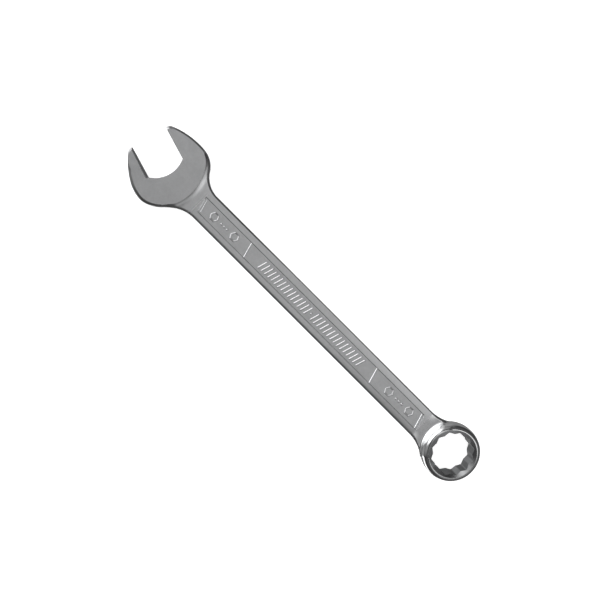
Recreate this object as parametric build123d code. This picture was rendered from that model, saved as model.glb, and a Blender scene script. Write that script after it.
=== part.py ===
from build123d import *
import math
import os

# Combination wrench: one steel forging with an open jaw head at one end and a
# twelve-point box ring at the other. The named regions of the forging are
# written as separate solids that meet face to face.
#
# Tool frame used while building: +X from the open end to the box end along the
# shank, +Y across the shank, +Z out of the shank's front face, Z = 0 on the
# shank's middle plane. At the end everything is tipped by REST_TILT so that the
# tool lies on its jaw tips and on the box ring, and moved so that the origin is
# at the bottom centre of the bounding box.

# ---- driving dimensions, millimetres and degrees ----
AF = 20.75                 # across flats of the open jaw and of the box socket
HEAD_T = 9.0               # thickness over the ground faces of the open head
SHANK_T = 6.8              # thickness over the rails of the shank
SHANK_W = 16.8             # width of the shank
JAW_OFFSET = 16.5          # angle of the jaw opening to the shank
JAW_X = -104.1             # where the jaw centre line crosses the shank axis
THROAT_S = 4.35            # throat depth past JAW_X, along the jaw centre line
THROAT_R = 15.8            # throat arc radius
FACE_R = 26.1              # edge of the ground face towards the shank
FACE_CX, FACE_CY = -110.6, 0.5
FLANK_R = 5.0              # concave flank from the ground face to the shank
HEAD_EDGE = 1.2            # rounding of the head's outer edges
SHANK_EDGE = 1.2           # rounding of the shank's long edges
NOSE_DROP = 0.9            # step down from the ground face at the end of the upper jaw
PANEL_D = 0.4              # depth of the recessed panels
PANEL_Y0, PANEL_Y1 = -4.55, 4.2
PANEL_X0, PANEL_X1 = -76.4, 87.4
PANEL_LEAN = 15.0          # lean of the panel ends and divider bars
RING_X = 109.6             # centre of the box ring on the shank axis
RING_Y = 0.4               # offset of the box ring across the shank
RING_R = 15.6              # outer radius of the box ring
RING_H = 13.0              # height of the box ring along its own axis
RING_TILT = 15.0           # tilt of the box ring's axis
RING_EDGE = 2.1            # rounding of the ring's outer edges
STAR_TURN = -4.0           # turn of the twelve points about the ring's axis
LEAD_R = 13.1              # mouth radius of the socket's lead-in
LEAD_SLOPE = 18.0          # slope of the lead-in against the ring's flat rim
NECK_R = 2.2               # concave fillet from the shank up to the ring
SPLIT_HEAD = -78.0         # plane between head and shank
SPLIT_BOX = 89.0           # plane between shank and box end
MARK_H = 0.35              # height of the raised relief above the panel
MARK_W = 0.9               # width of the raised strokes

os.makedirs("parts", exist_ok=True)

HT = HEAD_T / 2
ST = SHANK_T / 2
SW = SHANK_W / 2


def jaw(s, t):
    """Point at s along the jaw centre line (towards the throat), t across it."""
    a = math.radians(JAW_OFFSET)
    return (JAW_X + s * math.cos(a) + t * math.sin(a), -s * math.sin(a) + t * math.cos(a))


def clean(shape):
    solids = shape.solids() if hasattr(shape, "solids") else shape
    solids = [s for s in solids if s.volume > 1e-3]
    return solids[0] if len(solids) == 1 else Compound(children=list(solids))


# ---- outlines, as chains of tangent arcs ----
# Each chain starts with a heading and every later arc leaves in the direction in
# which the one before it arrived, so the outline has no corners in it.
NECK_UP = [(-73.5, 8.4), (-86.0, 15.2)]
HEAD_UP = [(-96.6, 21.45), (-113.9, 19.3), (-115.9, 18.6)]
NECK_LO = [(-74.5, -8.4), (-87.0, -12.85)]
HEAD_LO = [(-90.8, -16.35), (-98.0, -21.0), (-103.5, -21.55), (-111.3, -18.95),
           (-119.8, -12.5), (-123.7, -8.3)]
TIP_UP = [(-112.0, 19.6), (-113.9, 19.3), (-116.9, 18.2), (-118.6, 16.8)]
BOX_NECK = [(87.5, 8.4), (100.3, 12.7)]
BOX_IN = 106.0

mouth_u, mouth_l = jaw(-16.2, AF / 2 - 0.6), jaw(-18.1, -AF / 2 + 0.6)
flat_u1, flat_l1 = jaw(0.47, AF / 2), jaw(0.47, -AF / 2)
throat = jaw(THROAT_S, 0)


def chain(points, heading):
    """Tangent arcs through the points; returns the edges and the last heading."""
    out = []
    for p, q in zip(points[:-1], points[1:]):
        chord = math.degrees(math.atan2(q[1] - p[1], q[0] - p[0]))
        turn = (chord - heading + 180) % 360 - 180
        mid_dist = math.hypot(q[0] - p[0], q[1] - p[1]) / 2 * math.tan(math.radians(turn / 2))
        n = math.radians(chord - 90)
        m = ((p[0] + q[0]) / 2 + mid_dist * math.cos(n), (p[1] + q[1]) / 2 + mid_dist * math.sin(n))
        out.append(ThreePointArc(p, m, q) if abs(turn) > 0.05 else Line(p, q))
        heading = chord + turn
    return out, heading


up_all, _ = chain(NECK_UP + HEAD_UP + [mouth_u], 180)
lo_all, _ = chain(NECK_LO + HEAD_LO + [mouth_l], 180)
head_face = make_face(Wire(up_all + [Line(mouth_u, mouth_l)] + lo_all
                           + [Line(NECK_LO[0], NECK_UP[0])]))
mouth_face = make_face(Wire([Line(jaw(-40, AF / 2), flat_u1), ThreePointArc(flat_u1, throat, flat_l1),
                             Line(flat_l1, jaw(-40, -AF / 2)), Line(jaw(-40, -AF / 2), jaw(-40, AF / 2))]))

nu, _ = chain(NECK_UP, 180)
nl, _ = chain(NECK_LO, 180)
bn, _ = chain(BOX_NECK, 0)
bl, _ = chain([(x, -y) for x, y in BOX_NECK], 0)
bx1, by1 = BOX_NECK[-1]
slab_face = make_face(Wire(nu + nl + bn + bl + [
    Line(NECK_UP[-1], NECK_LO[-1]),
    Line(NECK_UP[0], BOX_NECK[0]),
    Line(NECK_LO[0], (BOX_NECK[0][0], -BOX_NECK[0][1])),
    Line((bx1, by1), (BOX_IN, by1 + 0.6)),
    Line((BOX_IN, by1 + 0.6), (BOX_IN, -by1 - 0.6)),
    Line((BOX_IN, -by1 - 0.6), (bx1, -by1)),
]))


def block(x0, x1, y0, y1, z0, z1):
    return Pos((x0 + x1) / 2, (y0 + y1) / 2, (z0 + z1) / 2) * Box(x1 - x0, y1 - y0, z1 - z0)


def round_edges(solid, curves, r, z):
    """Round the solid's edges at heights +-z that follow the given plan curves."""
    mids = [c.position_at(0.5) for c in curves]
    picked = []
    for e in solid.edges():
        b = e.bounding_box()
        if b.max.Z - b.min.Z > 1e-6 or abs(abs(b.min.Z) - z) > 1e-6:
            continue
        m = e.position_at(0.5)
        if any(math.hypot(m.X - q.X, m.Y - q.Y) < 1e-3 for q in mids):
            picked.append(e)
    return fillet(picked, r)


slab = extrude(slab_face, amount=ST, both=True)
side_lines = [Line(NECK_UP[0], BOX_NECK[0]), Line(NECK_LO[0], (BOX_NECK[0][0], -BOX_NECK[0][1]))]
slab = round_edges(slab, nu + nl + bn + bl + side_lines, SHANK_EDGE, ST)

# ---- open head: thicker, ground flat, with a concave flank down to the shank ----
head = extrude(head_face, amount=HT, both=True)
head = round_edges(head, up_all + lo_all, HEAD_EDGE, HT)
nose_face = make_face(Polyline(*TIP_UP[1:], jaw(-18.5, AF / 2 - 0.6), jaw(-12.0, AF / 2 - 0.6), (-111.0, 17.0), close=True))
nose = extrude(nose_face, amount=HT - NOSE_DROP, both=True)
head = head + nose
head = head - extrude(mouth_face, amount=HT + 2, both=True)
drop = HT - ST
flank_w = math.sqrt(2 * FLANK_R * drop - drop * drop)
prof = make_face(Wire([
    Line((FACE_R, HT), (FACE_R, HT + 3)),
    Line((FACE_R, HT + 3), (FACE_R + 30, HT + 3)),
    Line((FACE_R + 30, HT + 3), (FACE_R + 30, ST)),
    Line((FACE_R + 30, ST), (FACE_R + flank_w, ST)),
    ThreePointArc((FACE_R + flank_w, ST),
                  (FACE_R + flank_w - FLANK_R * math.sin(0.5 * math.asin(flank_w / FLANK_R)),
                   ST + FLANK_R * (1 - math.cos(0.5 * math.asin(flank_w / FLANK_R)))),
                  (FACE_R, HT)),
]))
prof3 = Plane.XZ * prof
flank = revolve(prof3, axis=Axis.Z, revolution_arc=360)
flank = Pos(FACE_CX, FACE_CY, 0) * flank
flank = flank & block(-92.0, -60, -40, 40, -20, 20)
head = head - flank - mirror(flank, about=Plane.XY)

# ---- box end: tilted ring, socket and the fillet up from the shank ----
ring_at = Pos(RING_X, RING_Y, 0) * Rot(0, RING_TILT, 0)
barrel = Cylinder(RING_R, RING_H)
barrel = fillet(barrel.edges().filter_by(GeomType.CIRCLE), RING_EDGE)
barrel = ring_at * barrel

star = []
for k in range(12):
    a = math.radians(30 * k + STAR_TURN)
    b = math.radians(30 * k + 15 + STAR_TURN)
    star.append((AF / 2 / math.cos(math.radians(30)) * math.cos(a), AF / 2 / math.cos(math.radians(30)) * math.sin(a)))
    star.append((AF / 2 / math.cos(math.radians(15)) * math.cos(b), AF / 2 / math.cos(math.radians(15)) * math.sin(b)))
socket = extrude(make_face(Polyline(*star, close=True)), amount=RING_H, both=True)
inner_r = AF / 2 / math.cos(math.radians(15))
lead_h = (LEAD_R - inner_r + 0.3) * math.tan(math.radians(LEAD_SLOPE))
lead = Pos(0, 0, RING_H / 2 - lead_h / 2 + 0.001) * Cone(inner_r - 0.3, LEAD_R, lead_h)
socket = socket + lead + mirror(lead, about=Plane.XY)
socket = ring_at * socket

ct, sn = math.cos(math.radians(RING_TILT)), math.sin(math.radians(RING_TILT))
# line of the barrel's shank side in the XZ plane
bx, bz = RING_X - RING_R * ct, RING_R * sn
s_hit = (ST - bz) / ct
hx = bx + s_hit * sn
tan_len = NECK_R * math.tan(math.radians((90 - RING_TILT) / 2))
p_low = (hx - tan_len, ST)
p_high = (hx + tan_len * sn, ST + tan_len * ct)
c_arc = (p_low[0], ST + NECK_R)
am = math.radians(-90 + (90 - RING_TILT) / 2)
p_mid = (c_arc[0] + NECK_R * math.cos(am), c_arc[1] + NECK_R * math.sin(am))
wedge2d = make_face(Wire([
    ThreePointArc(p_low, p_mid, p_high),
    Line(p_high, (RING_X - 6, p_high[1])),
    Line((RING_X - 6, p_high[1]), (RING_X - 6, 0)),
    Line((RING_X - 6, 0), (p_low[0], 0)),
    Line((p_low[0], 0), p_low),
]))
wedge = extrude(Plane.XZ * wedge2d, amount=20, both=True)
wedge = wedge & extrude(slab_face, amount=20, both=True)

forging = slab + head + barrel + wedge
forging = forging - socket
inside = ring_at * Cylinder(inner_r - 0.2, 4 * RING_H)
forging = forging - inside

# ---- recessed panels, both faces ----
k = math.tan(math.radians(PANEL_LEAN)) * (PANEL_Y1 - PANEL_Y0) / 2
panel2d = make_face(Polyline((PANEL_X0 + k, PANEL_Y0), (PANEL_X1 + k, PANEL_Y0),
                             (PANEL_X1 - k, PANEL_Y1), (PANEL_X0 - k, PANEL_Y1), close=True))
panel = Pos(0, 0, ST - PANEL_D) * extrude(panel2d, amount=PANEL_D + 2)
turn = Rot(180, 0, 0)
forging = forging - panel - turn * panel

# ---- raised relief on a panel: divider bars and generic marks ----

ZP = ST - PANEL_D
marks = []


def stroke(x0, y0, x1, y1, w=MARK_W, h=MARK_H):
    ang = math.degrees(math.atan2(y1 - y0, x1 - x0))
    ln = math.hypot(x1 - x0, y1 - y0)
    body = extrude(Rectangle(ln, w), amount=h, taper=18)
    marks.append(Pos((x0 + x1) / 2, (y0 + y1) / 2, ZP) * Rot(0, 0, ang) * body)


def hexagon(cx, cy, r, w=MARK_W):
    outer = extrude(RegularPolygon(r, 6, rotation=30), amount=MARK_H, taper=12)
    inner = extrude(RegularPolygon(r - w, 6, rotation=30), amount=MARK_H)
    marks.append(Pos(cx, cy, ZP) * (outer - inner))


def pip(cx, cy, r=0.75):
    marks.append(Pos(cx, cy, ZP) * extrude(Circle(r), amount=MARK_H, taper=18))


DIVIDERS = [(-76.0, 3.3, -74.2, -3.5), (-43.2, 3.9, -41.0, -4.2), (50.9, 3.9, 53.2, -4.2), (84.9, 3.7, 87.2, -4.2)]
for d in DIVIDERS:
    stroke(*d, w=0.8)
YC = -0.15
for x0 in (-70.0, 61.0):
    hexagon(x0 + 3.0, YC, 2.9)
    for i in range(3):
        pip(x0 + 8.4 + 2.1 * i, YC)
    hexagon(x0 + 18.0, YC, 2.9)
lean = 0.5 * 5.4 * math.tan(math.radians(PANEL_LEAN))
RIB_X0, RIB_N, RIB_P = -31.0, 31, 2.45
for i in range(RIB_N):
    x = RIB_X0 + i * RIB_P
    if i in (15,):
        pip(x, YC)
        continue
    stroke(x - lean, YC + 2.7, x + lean, YC - 2.7)

# ---- split into the named regions ----
BIG = 60
head_part = clean(forging & block(-150, SPLIT_HEAD, -BIG, BIG, -BIG, BIG))
shank_part = clean(forging & block(SPLIT_HEAD, SPLIT_BOX, -BIG, BIG, -BIG, BIG))
box_part = clean(forging & block(SPLIT_BOX, 150, -BIG, BIG, -BIG, BIG))
front = Compound([m.solid() for m in marks])
back = Compound([turn * m.solid() for m in marks])

# ---- rest pose and origin ----
# The tool lies on the lower edges of its jaw tips and of the box ring.
low_head = min(v.Z for v in [head_part.bounding_box().min])
tips_x = -122.5
ring_low_z = box_part.bounding_box().min.Z
ring_low_x = RING_X + (RING_R - RING_EDGE) * ct - RING_H / 2 * sn
REST_TILT = -math.degrees(math.atan2(low_head - ring_low_z, ring_low_x - tips_x))
tip = Rot(0, REST_TILT, 0)
whole = Compound(children=[tip * head_part, tip * shank_part, tip * box_part])
bb = whole.bounding_box()
place = Pos(-(bb.min.X + bb.max.X) / 2, -(bb.min.Y + bb.max.Y) / 2, -bb.min.Z) * tip

nodes = {
    "open_end_head": head_part,
    "shank": shank_part,
    "box_end_ring": box_part,
    "panel_marks_front": front,
    "panel_marks_back": back,
}
print("REST_TILT", REST_TILT, "shift", -(bb.min.X + bb.max.X) / 2, -(bb.min.Y + bb.max.Y) / 2, -bb.min.Z)
for name, shape in nodes.items():
    placed = [place * s for s in shape.solids()]
    export_step(placed[0] if len(placed) == 1 else Compound(placed), "parts/" + name + ".step")
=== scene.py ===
# Combination wrench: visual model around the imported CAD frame.
# All shape numbers are millimetres in the tool frame (X along the shank from the
# open end to the box end, Z out of the front face) and are put into the row frame
# in metres at the end. The mesh of each region is taken from one continuous shape
# function, so neighbouring regions meet exactly.
import bpy
import math
import numpy as np
from mathutils import Matrix, Vector


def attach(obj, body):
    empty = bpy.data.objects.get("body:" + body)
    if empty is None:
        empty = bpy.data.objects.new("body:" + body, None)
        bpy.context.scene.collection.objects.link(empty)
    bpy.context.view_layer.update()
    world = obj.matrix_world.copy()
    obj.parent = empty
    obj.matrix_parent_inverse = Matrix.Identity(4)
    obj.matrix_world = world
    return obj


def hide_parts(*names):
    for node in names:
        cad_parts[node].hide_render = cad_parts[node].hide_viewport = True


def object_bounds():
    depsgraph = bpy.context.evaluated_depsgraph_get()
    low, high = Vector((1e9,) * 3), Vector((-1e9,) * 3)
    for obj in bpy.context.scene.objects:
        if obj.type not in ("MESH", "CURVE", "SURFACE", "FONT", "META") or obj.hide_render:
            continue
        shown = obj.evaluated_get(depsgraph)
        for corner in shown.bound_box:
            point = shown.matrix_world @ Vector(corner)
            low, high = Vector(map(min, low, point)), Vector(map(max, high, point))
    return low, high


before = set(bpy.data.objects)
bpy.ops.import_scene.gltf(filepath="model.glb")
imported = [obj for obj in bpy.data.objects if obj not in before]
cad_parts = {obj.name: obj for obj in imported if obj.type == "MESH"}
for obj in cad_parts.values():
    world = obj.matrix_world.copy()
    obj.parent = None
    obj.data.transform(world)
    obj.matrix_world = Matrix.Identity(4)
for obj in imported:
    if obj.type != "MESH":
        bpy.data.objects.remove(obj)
cad_lo, cad_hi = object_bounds()

# ------------------------------------------------------------------ dimensions
AF = 20.75
HEAD_T, SHANK_T, SHANK_W = 9.0, 6.8, 16.8
HT, ST = HEAD_T / 2, SHANK_T / 2
JAW_OFFSET, JAW_X, THROAT_S, THROAT_R = math.radians(16.5), -104.1, 4.35, 15.8
FACE_CX, FACE_CY, FACE_R, FLANK_R = -110.6, 0.5, 26.1, 6.5
CROWN, HEAD_RND, SHANK_RND = 0.75, 3.9, 1.35
BREAK = math.radians(62.0)
RND_AZ = [0, 103, 110, 204, 217, 237, 250, 290, 320, 360]
RND_R = [3.2, 3.2, 4.2, 4.2, 2.2, 2.2, 4.2, 4.2, 3.2, 3.2]
PANEL_Y0, PANEL_Y1, PANEL_D = -4.55, 4.2, 0.4
PANEL_X0, PANEL_X1, PANEL_LEAN = -76.4, 87.4, math.radians(15.0)
RING_X, RING_R, RING_H, RING_TILT = 109.6, 15.6, 13.0, math.radians(15.0)
RING_RND, LEAD_R, LEAD_A = 2.0, 13.1, math.radians(72.0)
NECK_R = 1.4
RING_DRAFT = 0.15
RING_Y, STAR_TURN = 0.4, math.radians(-4.0)
SPLIT_HEAD, SPLIT_BOX = -78.0, 89.0
REST_TILT = math.radians(-1.2574956484256343)
SHIFT = np.array([-0.5855270953891747, 0.054403564895201484, 7.207711215355892])

CB, SB = math.cos(REST_TILT), math.sin(REST_TILT)
ROT = np.array([[CB, 0, SB], [0, 1, 0], [-SB, 0, CB]])


def to_row(p):
    """Tool frame, millimetres, to row frame, metres."""
    return (p @ ROT.T + SHIFT) * 0.001


def row_point(x, y, z):
    return Vector(to_row(np.array([[x, y, z]], float))[0])


ROW_ROT = Matrix([[CB, 0, SB], [0, 1, 0], [-SB, 0, CB]])

# ------------------------------------------------------------- outline in plan
NECK_UP = [(-73.5, 8.4), (-86.0, 15.2)]
HEAD_UP = [(-96.6, 21.45), (-113.9, 19.3), (-116.9, 18.2), (-118.6, 16.8)]
NECK_LO = [(-74.5, -8.4), (-87.0, -12.85)]
HEAD_LO = [(-90.8, -16.35), (-98.0, -21.0), (-103.5, -21.55), (-111.3, -18.95),
           (-119.8, -12.5), (-123.7, -8.3)]
BOX_NECK = [(87.5, 8.4), (100.3, 12.7)]
CJ, SJ = math.cos(JAW_OFFSET), math.sin(JAW_OFFSET)


def jaw(s, t):
    return (JAW_X + s * CJ + t * SJ, -s * SJ + t * CJ)


def chain(points, heading):
    """Tangent arcs (p, q, centre or None, radius, turn) through the points."""
    out = []
    for p, q in zip(points[:-1], points[1:]):
        chord = math.degrees(math.atan2(q[1] - p[1], q[0] - p[0]))
        turn = (chord - heading + 180) % 360 - 180
        if abs(turn) < 0.05:
            out.append((p, q, None, 0.0, 0.0))
        else:
            r = math.hypot(q[0] - p[0], q[1] - p[1]) / 2 / math.sin(math.radians(turn))
            n = math.radians(heading + 90)
            out.append((p, q, (p[0] + r * math.cos(n), p[1] + r * math.sin(n)), r, 2 * turn))
        heading = chord + turn
    return out


def reverse(parts):
    return [(q, p, c, -r, -t) for p, q, c, r, t in reversed(parts)]


mouth_u, mouth_l = jaw(-18.5, AF / 2 - 0.6), jaw(-18.1, -AF / 2 + 0.6)
UP = chain(NECK_UP + HEAD_UP + [mouth_u], 180)
LO = chain(NECK_LO + HEAD_LO + [mouth_l], 180)
BN = chain(BOX_NECK, 0)
BL = chain([(x, -y) for x, y in BOX_NECK], 0)
END_IN = (106.0, 0.0)


def line(p, q):
    return [(p, q, None, 0.0, 0.0)]


# counter-clockwise: along -Y side towards +X, round inside the ring, back along +Y
OUTLINE = (reverse(LO) + line(NECK_LO[0], (BOX_NECK[0][0], -BOX_NECK[0][1])) + BL
           + line((BOX_NECK[1][0], -BOX_NECK[1][1]), (104.5, -9.0)) + line((104.5, -9.0), (104.5, 9.0))
           + line((104.5, 9.0), BOX_NECK[1]) + reverse(BN) + line(BOX_NECK[0], NECK_UP[0]) + UP
           + line(mouth_u, mouth_l))


def outline_distance(x, y):
    """Signed distance to the plan outline, negative inside."""
    best = np.full(x.shape, 1e9)
    side = np.zeros(x.shape)
    for p, q, c, r, turn in OUTLINE:
        if c is None:
            dx, dy = q[0] - p[0], q[1] - p[1]
            ln = math.hypot(dx, dy)
            ux, uy = dx / ln, dy / ln
            t = np.clip((x - p[0]) * ux + (y - p[1]) * uy, 0, ln)
            s = (x - p[0]) * uy - (y - p[1]) * ux
            d = np.hypot(x - p[0] - t * ux, y - p[1] - t * uy)
        else:
            vx, vy = x - c[0], y - c[1]
            rad = np.hypot(vx, vy)
            way = 1.0 if turn > 0 else -1.0
            a = np.mod(way * (np.arctan2(vy, vx) - math.atan2(p[1] - c[1], p[0] - c[0])), 2 * math.pi)
            on = a <= abs(math.radians(turn))
            dp, dq = np.hypot(x - p[0], y - p[1]), np.hypot(x - q[0], y - q[1])
            ex = np.where(dp < dq, p[0], q[0])
            ey = np.where(dp < dq, p[1], q[1])
            off = ((x - ex) * (ex - c[0]) + (y - ey) * (ey - c[1])) / abs(r)
            d = np.where(on, np.abs(rad - abs(r)), np.minimum(dp, dq))
            s = way * np.where(on, rad - abs(r), off)
        # at a shared corner the piece seen more squarely decides the side
        tie = np.abs(d - best) < 1e-7
        take = (d < best - 1e-7) | (tie & (np.abs(s) > np.abs(side)))
        best = np.where(take, d, best)
        side = np.where(take, s, side)
    return best * np.where(side < 0, -1.0, 1.0)


def sstep(a, b, v):
    t = np.clip((v - a) / (b - a), 0, 1)
    return t * t * (3 - 2 * t)


def round_and(a, b, r):
    """Intersection of two shapes with its edge rounded by radius r."""
    return np.minimum(np.maximum(a, b), -r) + np.hypot(np.maximum(a + r, 0), np.maximum(b + r, 0))


def round_or(a, b, r):
    """Union of two shapes with a concave fillet of radius r."""
    return np.maximum(np.minimum(a, b), r) - np.hypot(np.maximum(r - a, 0), np.maximum(r - b, 0))


def soft_or(a, b, k):
    h = np.clip(0.5 + 0.5 * (b - a) / k, 0, 1)
    return b + (a - b) * h - k * h * (1 - h)


CR, SR = math.cos(RING_TILT), math.sin(RING_TILT)


def ring_coords(x, y, z):
    """Across, along shank and along the tilted ring axis."""
    dx = x - RING_X
    return dx * CR - z * SR, y - RING_Y, dx * SR + z * CR


def mouth(x, y):
    s = (x - JAW_X) * CJ - y * SJ
    t = (x - JAW_X) * SJ + y * CJ
    sc = THROAT_S - THROAT_R
    throat = np.where(s > sc, np.hypot(s - sc, t) - THROAT_R, np.abs(t) - THROAT_R)
    return np.maximum(np.abs(t) - AF / 2, throat)


def star(u, v):
    r = np.hypot(u, v)
    best = None
    for off in (0.0, 30.0):
        h = None
        for k in range(3):
            a = math.radians(60 * k + off) + STAR_TURN
            d = np.abs(u * math.cos(a) + v * math.sin(a)) - AF / 2
            h = d if h is None else np.maximum(h, d)
        best = h if best is None else np.minimum(best, h)
    return np.maximum(best, r - 11.82)


def panel_plan(x, y):
    """Distance outside the recessed panel's leaning outline."""
    k = math.tan(PANEL_LEAN)
    yc = (PANEL_Y0 + PANEL_Y1) / 2
    xs = x + k * (y - yc)
    c = math.cos(PANEL_LEAN)
    return np.maximum(np.maximum(y - PANEL_Y1, PANEL_Y0 - y),
                      np.maximum((PANEL_X0 - xs) * c, (xs - PANEL_X1) * c))


def barrel(x, y, z):
    u, v, w = ring_coords(x, y, z)
    rho = np.hypot(u, v)
    # the wall is straight round mid height and drafted above and below
    high = np.maximum(np.abs(w) - 2.4, 0)
    wall = (rho - RING_R + RING_DRAFT * (np.sqrt(high * high + 0.04) - 0.2)) * 0.99
    return round_and(wall, np.abs(w) - RING_H / 2, RING_RND), u, v, w, rho


def field(p, part):
    """Signed shape function of the forging, negative inside, without the region cuts."""
    x, y, z = p[:, 0], p[:, 1], p[:, 2]
    az = np.abs(z)
    d2 = outline_distance(x, y)
    # rails fall away slightly towards the long edges, more so towards the box end
    crown = (0.0015 + 0.0095 * sstep(0, 80, x)) * sstep(-92, -80, x) * (1 - sstep(86, 93, x))
    top = az - (ST - crown * np.maximum(np.abs(y) - 3.5, 0) ** 2)
    if part == "head":
        r = np.hypot(x - FACE_CX, y - FACE_CY)
        # height of the forged surface before grinding: crowned head, concave flank, shank
        foot = FACE_R + math.sqrt(2 * FLANK_R * (HT - ST) - (HT - ST) ** 2)
        w = np.clip(foot - r, 0.0, math.sqrt(2 * FLANK_R * (HT + CROWN - ST) - (HT + CROWN - ST) ** 2))
        rise = FLANK_R - np.sqrt(FLANK_R ** 2 - w * w)
        lean = np.where(rise < HT + CROWN - ST - 1e-6, np.sqrt(FLANK_R ** 2 - w * w) / FLANK_R, 1.0)
        t = (top - rise) * lean
        # the outer rounding is broadest at the lower side and at the jaw tips, and fades out at the neck
        ang = np.degrees(np.arctan2(y - FACE_CY, x - FACE_CX)) % 360.0
        rr = np.interp(ang, RND_AZ, RND_R)
        rr = SHANK_RND + (rr - SHANK_RND) * (1 - sstep(FACE_R - 1.0, FACE_R + 1.6, r))
        f = round_and(t, d2, rr)
        f = np.maximum(f, az - HT)
        f = np.maximum(f, -mouth(x, y))
        # edge breaks of the jaw flats, wider on the lower jaw and towards the throat
        s, t = (x - JAW_X) * CJ - y * SJ, (x - JAW_X) * SJ + y * CJ
        wide = np.where(t < 0, 0.85 + 0.45 * sstep(-16, 0, s), 0.25)
        f = np.maximum(f, ((wide + AF / 2 - np.abs(t)) * math.sin(BREAK) + (az - HT) * math.cos(BREAK)) * (s < 0.6)
                       + (s >= 0.6) * -9.0)
    else:
        b, u, v, w, rho = barrel(x, y, z)
        nr = 0.7 + (NECK_R - 0.7) * sstep(0.0, 3.0, z)
        t = round_or(top, b, nr)
        edge = SHANK_RND - 0.6 * sstep(-60, -10, x) * (1 - sstep(86, 93, x)) * sstep(-1, 1, y)
        swell = np.where(y > 0, 2.4 * sstep(95, 99, x), -0.65 * sstep(91, 95, x))
        f = round_and(t, d2, edge + swell)
    if part == "ring":
        f = soft_or(b, f, 0.8)
        lead = (rho - LEAD_R + (RING_H / 2 - np.abs(w)) * math.tan(LEAD_A)) * math.cos(LEAD_A)
        f = np.maximum(f, -np.minimum(star(u, v), lead))
    deep = (ST - PANEL_D) - az
    wall = (panel_plan(x, y) + 0.16 + deep * 0.8) / 1.28
    return np.maximum(f, -np.maximum(wall, deep))


def gradient(fn, p, e=0.004):
    k = np.array([[1, -1, -1], [-1, -1, 1], [-1, 1, -1], [1, 1, 1]], float)
    g = np.zeros_like(p)
    for row in k:
        g += row * fn(p + e * row)[:, None]
    n = np.linalg.norm(g, axis=1, keepdims=True)
    return g / np.maximum(n, 1e-12)


def chunked(fn, p, step=400000):
    return np.concatenate([fn(p[i:i + step]) for i in range(0, len(p), step)])


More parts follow.
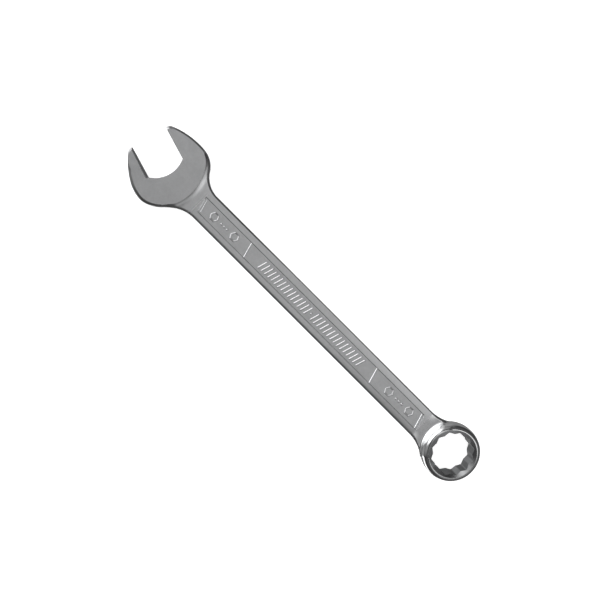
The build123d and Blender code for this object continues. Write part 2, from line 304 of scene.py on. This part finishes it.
def contour(fn, gx, gy, gz):
    """Dual contouring on a rectilinear grid. Returns vertices and quads."""
    nx, ny, nz = len(gx), len(gy), len(gz)
    yy, zz = np.meshgrid(gy, gz, indexing="ij")
    v = np.empty((nx, ny, nz))
    base = np.c_[np.zeros(ny * nz), yy.ravel(), zz.ravel()]
    step = max(1, 300000 // (ny * nz))
    for i in range(0, nx, step):
        xs = gx[i:i + step]
        pts = np.tile(base, (len(xs), 1))
        pts[:, 0] = np.repeat(xs, ny * nz)
        v[i:i + step] = fn(pts).reshape(len(xs), ny, nz)
    inside = v < 0
    g = [gx, gy, gz]
    pts_all, cells_all, quads = [], [], []
    cid = lambda i, j, k: (i * (ny - 1) + j) * (nz - 1) + k
    for ax in range(3):
        lo = [slice(None)] * 3
        hi = [slice(None)] * 3
        lo[ax], hi[ax] = slice(0, -1), slice(1, None)
        a, b = inside[tuple(lo)], inside[tuple(hi)]
        idx = np.argwhere(a != b)
        o1, o2 = [(1, 2), (2, 0), (0, 1)][ax]
        lim = (nx, ny, nz)
        ok = (idx[:, o1] > 0) & (idx[:, o1] < lim[o1] - 1) & (idx[:, o2] > 0) & (idx[:, o2] < lim[o2] - 1)
        assert ok.all(), "the surface reaches the edge of its grid"
        va = v[idx[:, 0], idx[:, 1], idx[:, 2]]
        nxt = idx.copy()
        nxt[:, ax] += 1
        vb = v[nxt[:, 0], nxt[:, 1], nxt[:, 2]]
        pa = np.stack([g[c][idx[:, c]] for c in range(3)], 1)
        pb = np.stack([g[c][nxt[:, c]] for c in range(3)], 1)
        fa, fb = va.copy(), vb.copy()
        t0, t1 = np.zeros(len(idx)), np.ones(len(idx))
        for it in range(7):
            t = t0 + (t1 - t0) * (np.clip(fa / (fa - fb), 0.05, 0.95) if it % 2 == 0 else 0.5)
            m = chunked(fn, pa + (pb - pa) * t[:, None])
            left = (m < 0) == (fa < 0)
            t0, fa = np.where(left, t, t0), np.where(left, m, fa)
            t1, fb = np.where(left, t1, t), np.where(left, fb, m)
        t = t0 + (t1 - t0) * (fa / (fa - fb))
        pts_all.append(pa + (pb - pa) * t[:, None])
        four = []
        for s1, s2 in ((-1, -1), (0, -1), (0, 0), (-1, 0)):
            c = idx.copy()
            c[:, o1] += s1
            c[:, o2] += s2
            four.append(cid(c[:, 0], c[:, 1], c[:, 2]))
        four = np.stack(four, 1)
        cells_all.append(four)
        quads.append(np.where((va < 0)[:, None], four, four[:, ::-1]))
    pts = np.concatenate(pts_all)
    cells = np.concatenate(cells_all)
    quads = np.concatenate(quads)
    nrm = chunked(lambda q: gradient(fn, q), pts)
    used, inv = np.unique(cells.ravel(), return_inverse=True)
    inv = inv.reshape(-1)
    n = len(used)
    rep_p, rep_n = np.repeat(pts, 4, 0), np.repeat(nrm, 4, 0)
    cnt = np.bincount(inv, minlength=n).astype(float)
    mean = np.stack([np.bincount(inv, rep_p[:, c], n) for c in range(3)], 1) / cnt[:, None]
    rel = rep_p - mean[inv]
    d = (rep_n * rel).sum(1)
    ata = np.zeros((n, 3, 3))
    for i in range(3):
        for j in range(i, 3):
            s = np.bincount(inv, rep_n[:, i] * rep_n[:, j], n)
            ata[:, i, j] = s
            ata[:, j, i] = s
    atb = np.stack([np.bincount(inv, rep_n[:, c] * d, n) for c in range(3)], 1)
    ata += np.eye(3) * 0.012 * cnt[:, None, None]
    x = np.linalg.solve(ata, atb[:, :, None])[:, :, 0] + mean
    k = used % (nz - 1)
    j = (used // (nz - 1)) % (ny - 1)
    i = used // ((nz - 1) * (ny - 1))
    for c, ii in ((0, i), (1, j), (2, k)):
        a, b = g[c][ii], g[c][ii + 1]
        m = (b - a) * 0.02
        x[:, c] = np.clip(x[:, c], a + m, b - m)
    quads = np.searchsorted(used, quads)
    return x, quads


def graded(stops):
    """Grid lines through (position, spacing) stops, spacing changing linearly."""
    out = [stops[0][0]]
    for (a, ha), (b, hb) in zip(stops[:-1], stops[1:]):
        n = max(1, int(round((b - a) / ((ha + hb) / 2))))
        t = (np.arange(1, n + 1)) / n
        w = ha * t + (hb - ha) * t * t / 2
        out.extend(a + (b - a) * w / w[-1])
    return np.array(out)


def build(name, part, gx, gy, gz, cut, classify, materials):
    """One region: contour it, shade it with the shape's own normals, add it."""
    def fn(p):
        f = field(p, part)
        if cut[0] is not None:
            f = np.maximum(f, cut[0] - p[:, 0])
        if cut[1] is not None:
            f = np.maximum(f, p[:, 0] - cut[1])
        return f
    verts, quads = contour(fn, gx, gy, gz)
    smooth = lambda p: field(p, part)
    centre = verts[quads].mean(1)
    fnorm = np.cross(verts[quads[:, 2]] - verts[quads[:, 0]], verts[quads[:, 3]] - verts[quads[:, 1]])
    fnorm /= np.maximum(np.linalg.norm(fnorm, axis=1, keepdims=True), 1e-12)
    on_cut = np.zeros(len(quads), bool)
    for c in cut:
        if c is not None:
            on_cut |= (np.abs(centre[:, 0] - c) < 1e-3) & (np.abs(fnorm[:, 0]) > 0.99)
    gv = chunked(lambda q: gradient(smooth, q), verts)
    lv = quads.ravel()
    lf = np.repeat(np.arange(len(quads)), 4)
    q = verts[lv] + 0.22 * (centre[lf] - verts[lv])
    gq = chunked(lambda a: gradient(smooth, a), q)
    near = (gv[lv] * gq).sum(1) > math.cos(math.radians(9))
    ln = np.where(near[:, None], gv[lv], gq)
    bad = (ln * fnorm[lf]).sum(1) < math.cos(math.radians(24))
    ln[bad | on_cut[lf]] = fnorm[lf][bad | on_cut[lf]]
    # row frame
    rv = to_row(verts)
    rn = ln @ ROT.T
    me = bpy.data.meshes.new(name)
    me.vertices.add(len(rv))
    me.vertices.foreach_set("co", rv.ravel())
    me.loops.add(len(lv))
    me.loops.foreach_set("vertex_index", lv.astype(np.int32))
    me.polygons.add(len(quads))
    me.polygons.foreach_set("loop_start", np.arange(0, len(lv), 4, dtype=np.int32))
    me.update(calc_edges=True)
    me.validate()
    me.polygons.foreach_set("use_smooth", np.ones(len(me.polygons), bool))
    for m in materials:
        me.materials.append(m)
    me.polygons.foreach_set("material_index", classify(centre, fnorm).astype(np.int32))
    me.normals_split_custom_set(rn.tolist())
    me.update()
    ob = bpy.data.objects.new(name, me)
    bpy.context.scene.collection.objects.link(ob)
    print(name, "verts", len(rv), "quads", len(quads))
    return ob


# ------------------------------------------------------------------- node tools
class Graph:
    """Small helper round a node tree."""

    def __init__(self, tree):
        self.t = tree
        tree.nodes.clear()

    def node(self, kind, **props):
        n = self.t.nodes.new(kind)
        for k, v in props.items():
            setattr(n, k, v)
        return n

    def put(self, socket, value):
        if isinstance(value, bpy.types.NodeSocket):
            self.t.links.new(value, socket)
        else:
            socket.default_value = value

    def math(self, op, a, b=0.0, c=0.0, clamp=False):
        n = self.node("ShaderNodeMath", operation=op, use_clamp=clamp)
        for i, v in enumerate((a, b, c)):
            self.put(n.inputs[i], v)
        return n.outputs[0]

    def add(self, a, b):
        return self.math("ADD", a, b)

    def mul(self, a, b):
        return self.math("MULTIPLY", a, b)

    def step(self, v, a, b, lo=0.0, hi=1.0):
        n = self.node("ShaderNodeMapRange", interpolation_type="SMOOTHSTEP")
        n.inputs["From Min"].default_value = a
        n.inputs["From Max"].default_value = b
        n.inputs["To Min"].default_value = lo
        n.inputs["To Max"].default_value = hi
        self.put(n.inputs["Value"], v)
        return n.outputs["Result"]

    def noise(self, vec, scale, detail=2.0, rough=0.5, distortion=0.0):
        n = self.node("ShaderNodeTexNoise")
        self.put(n.inputs["Vector"], vec)
        n.inputs["Scale"].default_value = scale
        n.inputs["Detail"].default_value = detail
        n.inputs["Roughness"].default_value = rough
        n.inputs["Distortion"].default_value = distortion
        return n.outputs["Fac"]

    def scaled(self, vec, scale, rotation=(0, 0, 0)):
        n = self.node("ShaderNodeMapping", vector_type="TEXTURE")
        n.inputs["Rotation"].default_value = rotation
        self.put(n.inputs["Vector"], vec)
        m = self.node("ShaderNodeVectorMath", operation="MULTIPLY")
        self.put(m.inputs[0], n.outputs[0])
        m.inputs[1].default_value = scale
        return m.outputs[0]

    def mix(self, fac, a, b):
        n = self.node("ShaderNodeMix", data_type="RGBA")
        self.put(n.inputs[0], fac)
        for i, v in ((6, a), (7, b)):
            self.put(n.inputs[i], v if isinstance(v, bpy.types.NodeSocket) else (*v, 1.0))
        return n.outputs[2]

    def bump(self, height, distance, strength=1.0, normal=None):
        n = self.node("ShaderNodeBump")
        n.inputs["Distance"].default_value = distance
        n.inputs["Strength"].default_value = strength
        self.put(n.inputs["Height"], height)
        if normal is not None:
            self.put(n.inputs["Normal"], normal)
        return n.outputs["Normal"]


def metal(name, colour, rough, grain=0.0, grain_size=0.35, mottle=0.04, wavy=0.0, lines=None,
          rough_var=0.05, wear=0.25, wear_col=(0.75, 0.755, 0.765)):
    """Plated steel: mottled colour and roughness, fine grain, optional tool lines, bright worn edges."""
    m = bpy.data.materials.new(name)
    m.use_nodes = True
    g = Graph(m.node_tree)
    out = g.node("ShaderNodeOutputMaterial")
    bsdf = g.node("ShaderNodeBsdfPrincipled")
    g.t.links.new(bsdf.outputs[0], out.inputs["Surface"])
    co = g.node("ShaderNodeTexCoord").outputs["Object"]
    geo = g.node("ShaderNodeNewGeometry")
    big = g.noise(co, 160.0, 3.0, 0.55)
    mid = g.noise(co, 620.0, 3.0, 0.6)
    fine = g.noise(co, 1000.0 / grain_size, 2.0, 0.6)
    tone = g.add(g.mul(g.add(big, -0.5), 1.2), g.add(g.mul(g.add(mid, -0.5), 1.0), g.mul(g.add(fine, -0.5), 0.9)))
    line = None
    if lines is not None:
        line = g.noise(g.scaled(co, lines["scale"], lines.get("rotation", (0, 0, 0))), 1.0, 3.0, 0.65)
        tone = g.add(tone, g.mul(g.add(line, -0.5), lines.get("tone", 1.0)))
    dark = tuple(c * (1 - 2.2 * mottle) for c in colour)
    light = tuple(min(1.0, c * (1 + 2.2 * mottle)) for c in colour)
    base = g.mix(g.math("ADD", g.mul(tone, 1.0), 0.5, clamp=True), dark, light)
    edge = g.step(geo.outputs["Pointiness"], 0.515, 0.56)
    rubbed = g.math("MULTIPLY", edge, g.step(g.noise(co, 900.0, 3.0, 0.6), 0.35, 0.6), clamp=True)
    base = g.mix(g.mul(rubbed, wear), base, wear_col)
    g.put(bsdf.inputs["Base Color"], base)
    bsdf.inputs["Metallic"].default_value = 1.0
    ro = g.add(rough, g.mul(g.add(g.mul(g.add(mid, -0.5), 1.6), g.mul(g.add(big, -0.5), 1.4)), rough_var))
    ro = g.add(ro, g.mul(rubbed, -0.25 * rough))
    g.put(bsdf.inputs["Roughness"], g.math("MAXIMUM", ro, 0.03))
    normal = None
    if wavy:
        normal = g.bump(g.noise(co, 95.0, 1.0, 0.4), wavy)
    if line is not None:
        normal = g.bump(line, lines["depth"], 1.0, normal)
    if grain:
        normal = g.bump(fine, grain, 1.0, normal)
    if normal is not None:
        g.put(bsdf.inputs["Normal"], normal)
    return m


RING_ROT = (0.0, RING_TILT + REST_TILT, 0.0)
JAW_ROT = (0.0, 0.0, -JAW_OFFSET)
M_FORGED = metal("satin_chrome_forged", (0.60, 0.605, 0.612), 0.30, grain=0.000006, grain_size=0.45,
                 mottle=0.03, wavy=0.00002)
M_PANEL = metal("satin_chrome_panel", (0.58, 0.585, 0.592), 0.34, grain=0.000010, grain_size=0.5,
                mottle=0.045, wavy=0.00001)
M_FACE = metal("satin_chrome_ground", (0.55, 0.555, 0.562), 0.30, grain=0.000005, grain_size=0.35, mottle=0.04,
               wavy=0.00001, lines=dict(scale=(900.0, 4200.0, 900.0), rotation=(0, 0, math.radians(20)), depth=0.000002, tone=0.5))
M_JAW = metal("satin_chrome_jaw_wall", (0.36, 0.365, 0.372), 0.32, grain=0.000006, mottle=0.07,
              lines=dict(scale=(3600.0, 3600.0, 120.0), rotation=JAW_ROT, depth=0.000012, tone=1.2))
M_RING = metal("polished_chrome_barrel", (0.66, 0.665, 0.672), 0.10, grain=0.0000012, grain_size=0.4,
               mottle=0.02, wavy=0.00003, rough_var=0.03)
M_RIM = metal("polished_chrome_lead_in", (0.50, 0.505, 0.512), 0.14, grain=0.000002, mottle=0.03,
              lines=dict(scale=(500.0, 500.0, 6000.0), rotation=RING_ROT, depth=0.000002, tone=0.4))
M_STAR = metal("polished_chrome_broached", (0.20, 0.205, 0.21), 0.44, grain=0.000004, mottle=0.09,
               lines=dict(scale=(4200.0, 4200.0, 150.0), rotation=RING_ROT, depth=0.000014, tone=1.6))
M_RELIEF = metal("relief_chrome_marks", (0.74, 0.745, 0.752), 0.16, grain=0.000003, mottle=0.04, wear=0.6)

# ------------------------------------------------------------------- the regions
FINE = 1.0


def classify_head(c, n):
    k = np.zeros(len(c))
    k[(np.abs(c[:, 2]) > HT - 0.03) & (np.abs(n[:, 2]) > 0.99)] = 1
    k[(np.abs(mouth(c[:, 0], c[:, 1])) < 0.05) & (np.abs(n[:, 2]) < 0.3)] = 2
    return k


def classify_shank(c, n):
    k = np.zeros(len(c))
    k[(np.abs(c[:, 2]) < ST - PANEL_D + 0.05) & (np.abs(n[:, 2]) > 0.9)] = 1
    return k


def classify_ring(c, n):
    u, v, w = ring_coords(c[:, 0], c[:, 1], c[:, 2])
    rho = np.hypot(u, v)
    nw = np.abs(n[:, 0] * SR + n[:, 2] * CR)
    k = np.zeros(len(c))
    inner = (rho < LEAD_R + 0.05) & (np.abs(w) < RING_H / 2 - 0.01)
    k[inner & (nw >= 0.3)] = 1
    k[inner & (nw < 0.3)] = 2
    return k


h = 0.30 / FINE
head = build("wrench_open_end", "head",
             graded([(-126.213, h), (-77.31, h)]), graded([(-23.517, h), (23.491, h)]),
             graded([(-5.013, h * 0.8), (5.021, h * 0.8)]), (None, SPLIT_HEAD), classify_head,
             [M_FORGED, M_FACE, M_JAW])
shank = build("wrench_shank", "shank",
              graded([(-78.613, 0.4), (-74.0, 0.5), (-70.0, 1.6), (81.0, 1.6), (84.0, 0.45), (89.417, 0.4)]),
              graded([(-12.517, 0.3), (-8.9, 0.2), (-6.6, 0.3), (-5.2, 0.3), (-4.2, 0.16), (-3.6, 0.6), (3.3, 0.6),
                      (3.8, 0.16), (4.8, 0.3), (6.6, 0.3), (8.9, 0.2), (12.491, 0.3)]),
              graded([(-5.013, 0.3), (-3.6, 0.12), (-2.9, 0.12), (-1.9, 0.3), (1.91, 0.3), (2.91, 0.12), (3.61, 0.12), (5.013, 0.3)]),
              (SPLIT_HEAD, SPLIT_BOX), classify_shank, [M_FORGED, M_PANEL])
h = 0.26 / FINE
ring = build("wrench_ring", "ring",
             graded([(88.317, h), (127.413, h)]), graded([(-16.517, h), (16.491, h)]),
             graded([(-11.013, h), (11.021, h)]), (SPLIT_BOX, None), classify_ring,
             [M_RING, M_RIM, M_STAR])

# ---------------------------------------------------------------- relief marks
YC, MARK_H, MARK_W = -0.15, 0.35, 0.9
DIVIDERS = [(-76.0, 3.3, -74.2, -3.5), (-43.2, 3.9, -41.0, -4.2), (50.9, 3.9, 53.2, -4.2), (84.9, 3.7, 87.2, -4.2)]
RIB_X0, RIB_PITCH, RIBS = -31.0, 2.45, 31
LEAN = 0.5 * 5.4 * math.tan(math.radians(15.0))


def segment(x, y, ax, ay, bx, by):
    dx, dy = bx - ax, by - ay
    t = np.clip(((x - ax) * dx + (y - ay) * dy) / (dx * dx + dy * dy), 0, 1)
    return np.hypot(x - ax - t * dx, y - ay - t * dy)


def mark_plan():
    """List of (lowest x, highest x, distance function) for one side's marks."""
    out = []
    for (ax, ay, bx, by), half in zip(DIVIDERS, (0.27, 0.33, 0.4, 0.36)):
        out.append((min(ax, bx), max(ax, bx), lambda x, y, a=(ax, ay, bx, by), h=half: segment(x, y, *a) - h))
    for x0 in (-70.0, 61.0):
        for cx in (x0 + 3.0, x0 + 18.0):
            def hexa(x, y, cx=cx):
                d = None
                for k in range(3):
                    a = math.radians(60 * k + 30)
                    e = np.abs((x - cx) * math.cos(a) + (y - YC) * math.sin(a))
                    d = e if d is None else np.maximum(d, e)
                return np.abs(d - 2.9 * math.cos(math.pi / 6) + 0.45) - 0.45
            out.append((cx - 2.9, cx + 2.9, hexa))
        for i in range(3):
            cx = x0 + 8.4 + 2.1 * i
            out.append((cx - 0.75, cx + 0.75, lambda x, y, cx=cx: np.hypot(x - cx, y - YC) - 0.75))
    for i in range(RIBS):
        cx = RIB_X0 + i * RIB_PITCH
        if i == 15:
            out.append((cx - 0.75, cx + 0.75, lambda x, y, cx=cx: np.hypot(x - cx, y - YC) - 0.75))
        else:
            out.append((cx - LEAN, cx + LEAN, lambda x, y, cx=cx:
                        segment(x, y, cx + LEAN, YC + 2.5, cx - LEAN, YC - 2.5) - 0.45))
    return out


def build_marks(name, back):
    vs, qs, ns, base = [], [], [], 0
    floor = ST - PANEL_D
    for x0, x1, dist in mark_plan():
        def fn(p):
            d = dist(p[:, 0], p[:, 1])
            f = round_and(d + 0.35 * (p[:, 2] - floor) + 0.06, p[:, 2] - floor - MARK_H, 0.22)
            return np.maximum(f, floor - 0.04 - p[:, 2])
        hx = 0.13
        v, q = contour(fn, graded([(x0 - 0.813, hx), (x1 + 0.817, hx)]), graded([(-5.013, hx), (4.721, hx)]),
                       graded([(floor - 0.213, 0.08), (floor + 0.541, 0.08)]))
        c = v[q].mean(1)
        gq = chunked(lambda a: gradient(fn, a), v[q.ravel()] * 0.8 + np.repeat(c, 4, 0) * 0.2)
        vs.append(v)
        qs.append(q + base)
        ns.append(gq)
        base += len(v)
    v, q, n = np.concatenate(vs), np.concatenate(qs), np.concatenate(ns)
    if back:
        flip = np.array([1.0, -1.0, -1.0])
        v, n = v * flip, n * flip
    me = bpy.data.meshes.new(name)
    me.vertices.add(len(v))
    me.vertices.foreach_set("co", to_row(v).ravel())
    me.loops.add(len(q) * 4)
    me.loops.foreach_set("vertex_index", q.ravel().astype(np.int32))
    me.polygons.add(len(q))
    me.polygons.foreach_set("loop_start", np.arange(0, len(q) * 4, 4, dtype=np.int32))
    me.update(calc_edges=True)
    me.polygons.foreach_set("use_smooth", np.ones(len(q), bool))
    me.materials.append(M_RELIEF)
    me.normals_split_custom_set((n @ ROT.T).tolist())
    me.update()
    ob = bpy.data.objects.new(name, me)
    bpy.context.scene.collection.objects.link(ob)
    print(name, "verts", len(v), "quads", len(q))
    return ob


relief_front = build_marks("relief_marks_front", False)
relief_back = build_marks("relief_marks_back", True)

for piece, node, slot in ((head, "open_end_head", "satin_chrome"), (shank, "shank", "satin_chrome"),
                          (ring, "box_end_ring", "polished_chrome"),
                          (relief_front, "panel_marks_front", "relief_chrome"),
                          (relief_back, "panel_marks_back", "relief_chrome")):
    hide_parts(node)
    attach(piece, "root")

# ------------------------------------------------------------------------ stage
fm = bpy.data.materials.new("studio_paper")
fm.use_nodes = True
g = Graph(fm.node_tree)
out = g.node("ShaderNodeOutputMaterial")
bs = g.node("ShaderNodeBsdfPrincipled")
g.t.links.new(bs.outputs[0], out.inputs["Surface"])
fco = g.node("ShaderNodeTexCoord").outputs["Object"]
g.put(bs.inputs["Base Color"], g.mix(g.noise(fco, 60.0, 3.0, 0.6), (0.86, 0.86, 0.86), (0.90, 0.90, 0.90)))
bs.inputs["Roughness"].default_value = 0.9
bs.inputs["Specular IOR Level"].default_value = 0.1
bs.inputs["Emission Color"].default_value = (1, 1, 1, 1)
bs.inputs["Emission Strength"].default_value = 0.62
me = bpy.data.meshes.new("studio_floor")
seg = 64
pts = [(0.0, 0.0, 0.0)] + [(14 * math.cos(2 * math.pi * i / seg), 14 * math.sin(2 * math.pi * i / seg), 0.0) for i in range(seg)]
me.from_pydata(pts, [], [(0, 1 + i, 1 + (i + 1) % seg) for i in range(seg)])
me.materials.append(fm)
floor = bpy.data.objects.new("studio_floor", me)
floor.location = (0, 0, float(cad_lo[2]) - 0.0002)
floor.visible_glossy = False
bpy.context.scene.collection.objects.link(floor)


# ----------------------------------------------------------------------- lights
def softbox(name, loc, aim, size, watts):
    data = bpy.data.lights.new(name, "AREA")
    data.shape = "RECTANGLE"
    data.size, data.size_y = size
    data.energy = watts
    ob = bpy.data.objects.new(name, data)
    ob.location = loc
    d = Vector(aim) - Vector(loc)
    ob.rotation_euler = d.to_track_quat("-Z", "Y").to_euler()
    ob.visible_glossy = False
    ob.visible_camera = False
    bpy.context.scene.collection.objects.link(ob)


softbox("overhead_bank", (0, 0, 1.7), (0, 0, 0), (3.0, 3.0), 34.0)

world = bpy.data.worlds.new("studio")
bpy.context.scene.world = world
world.use_nodes = True
g = Graph(world.node_tree)
wout = g.node("ShaderNodeOutputWorld")
bg = g.node("ShaderNodeBackground")
g.t.links.new(bg.outputs[0], wout.inputs["Surface"])
nrm = g.node("ShaderNodeVectorMath", operation="NORMALIZE")
g.put(nrm.inputs[0], g.node("ShaderNodeTexCoord").outputs["Generated"])
sep = g.node("ShaderNodeSeparateXYZ")
g.put(sep.inputs[0], nrm.outputs[0])
wx, wy, wz = sep.outputs
ramp = g.node("ShaderNodeValToRGB")
ramp.color_ramp.interpolation = "LINEAR"
stops = [(-1.0, 0.20), (-0.9, 0.22), (-0.75, 0.12), (-0.5, 0.07), (0.0, 0.06), (0.35, 0.075), (0.6, 0.10), (0.8, 0.23), (0.93, 0.31), (1.0, 0.32)]
el = ramp.color_ramp.elements
while len(el) < len(stops):
    el.new(0.5)
for e, (zv, lv) in zip(el, stops):
    e.position = (zv + 1) / 2
    e.color = (lv, lv, lv, 1)
g.put(ramp.inputs[0], g.math("MULTIPLY_ADD", wz, 0.5, 0.5))
hor = g.math("MAXIMUM", g.math("SQRT", g.add(g.mul(wx, wx), g.mul(wy, wy))), 1e-4)


def bank(az, half, z0, z1, level, side=12.0, soft=0.05):
    """A soft patch of light or shade: azimuth, half width and edge in degrees, from height z0 to z1."""
    ca, sa = math.cos(math.radians(az)), math.sin(math.radians(az))
    along = g.math("DIVIDE", g.add(g.mul(wx, ca), g.mul(wy, sa)), hor)
    a = g.step(along, math.cos(math.radians(half + side)), math.cos(math.radians(max(0.0, half - side))))
    b = g.mul(g.step(wz, z0 - soft, z0 + soft), g.step(wz, z1 - soft, z1 + soft, 1.0, 0.0))
    return g.mul(g.mul(a, b), level)


val = g.node("ShaderNodeRGBToBW")
g.put(val.inputs[0], ramp.outputs[0])
lum = val.outputs[0]
# brighter towards +Y and darker towards -Y around the zenith
tip_y = g.mul(g.math("MINIMUM", g.math("MAXIMUM", wy, 0.0), 0.15), 4.2)
tip_y = g.mul(tip_y, g.step(wy, 0.17, 0.42, 1.0, -0.4))
tip_y = g.add(tip_y, g.mul(g.math("MAXIMUM", g.math("MINIMUM", g.add(wy, 0.08), 0.0), -0.12), 1.9))
tip_y = g.add(tip_y, g.mul(g.mul(g.step(wy, -0.11, -0.07), g.step(wy, -0.05, -0.015, 1.0, 0.0)), 0.21))
tip_y = g.add(tip_y, g.step(g.math("ABSOLUTE", wx), 0.0, 0.09, 0.27, 0.0))
lum = g.add(lum, g.mul(tip_y, g.step(wz, 0.6, 0.95)))
lum = g.math("MAXIMUM", lum, 0.012)
lum = g.add(lum, bank(181, 27, 0.07, 0.80, 2.3, side=13.0))
lum = g.add(lum, bank(181, 60, 0.00, 0.80, 0.26, side=15.0))
lum = g.add(lum, bank(176, 22, -0.75, 0.08, 0.9, side=14.0, soft=0.06))
lum = g.add(lum, bank(180, 9, -0.98, -0.75, 0.35, side=9.0, soft=0.04))
lum = g.add(lum, bank(180, 55, -0.80, 0.00, 0.20, side=15.0, soft=0.08))
lum = g.add(lum, bank(256, 12, -0.890, -0.78, 1.5, side=5.0, soft=0.012))
lum = g.add(lum, bank(280, 12, -0.940, -0.84, 1.5, side=5.0, soft=0.012))
lum = g.add(lum, bank(216, 22, -0.95, -0.75, 0.25, side=12.0, soft=0.05))
lum = g.add(lum, bank(22, 11, 0.55, 0.96, 0.95, side=7.0, soft=0.03))
lum = g.add(lum, bank(338, 18, 0.25, 0.90, 0.14, side=12.0, soft=0.06))
lum = g.add(lum, bank(335, 14, 0.70, 0.84, 0.45, side=9.0, soft=0.03))
lum = g.add(lum, bank(0, 42, 0.16, 0.46, 0.13, side=18.0, soft=0.06))
lum = g.add(lum, bank(0, 45, -0.80, 0.00, 0.05, side=18.0, soft=0.1))
lum = g.add(lum, bank(90, 50, -0.93, -0.50, 0.11, side=18.0, soft=0.1))
path = g.node("ShaderNodeLightPath")
col = g.node("ShaderNodeMix", data_type="FLOAT")
g.put(col.inputs[0], path.outputs["Is Camera Ray"])
g.put(col.inputs[2], lum)
col.inputs[3].default_value = 0.93
g.put(bg.inputs["Color"], col.outputs[0])
bg.inputs["Strength"].default_value = 1.0

# ----------------------------------------------------------------------- camera
VIEW_D, VIEW_W = 1.0, 0.3237
tilt = math.radians(0.0)
target = row_point(0.0, 0.8, 3.4)
out_dir = ROW_ROT @ Vector((0.0, math.sin(tilt), math.cos(tilt)))
up_ref = ROW_ROT @ Vector((-1.0, 1.0, 0.0)).normalized()
zc = out_dir.normalized()
xc = up_ref.cross(zc).normalized()
yc = zc.cross(xc)
cam = bpy.data.cameras.new("camera")
cam.sensor_width = 36.0
cam.lens = 36.0 * VIEW_D / VIEW_W
cam.clip_start, cam.clip_end = 0.05, 60.0
cob = bpy.data.objects.new("camera", cam)
m = Matrix((xc, yc, zc)).transposed().to_4x4()
m.translation = target + zc * VIEW_D
cob.matrix_world = m
bpy.context.scene.collection.objects.link(cob)
bpy.context.scene.camera = cob
bpy.context.scene.view_settings.view_transform = "Standard"
bpy.context.scene.view_settings.look = "None"
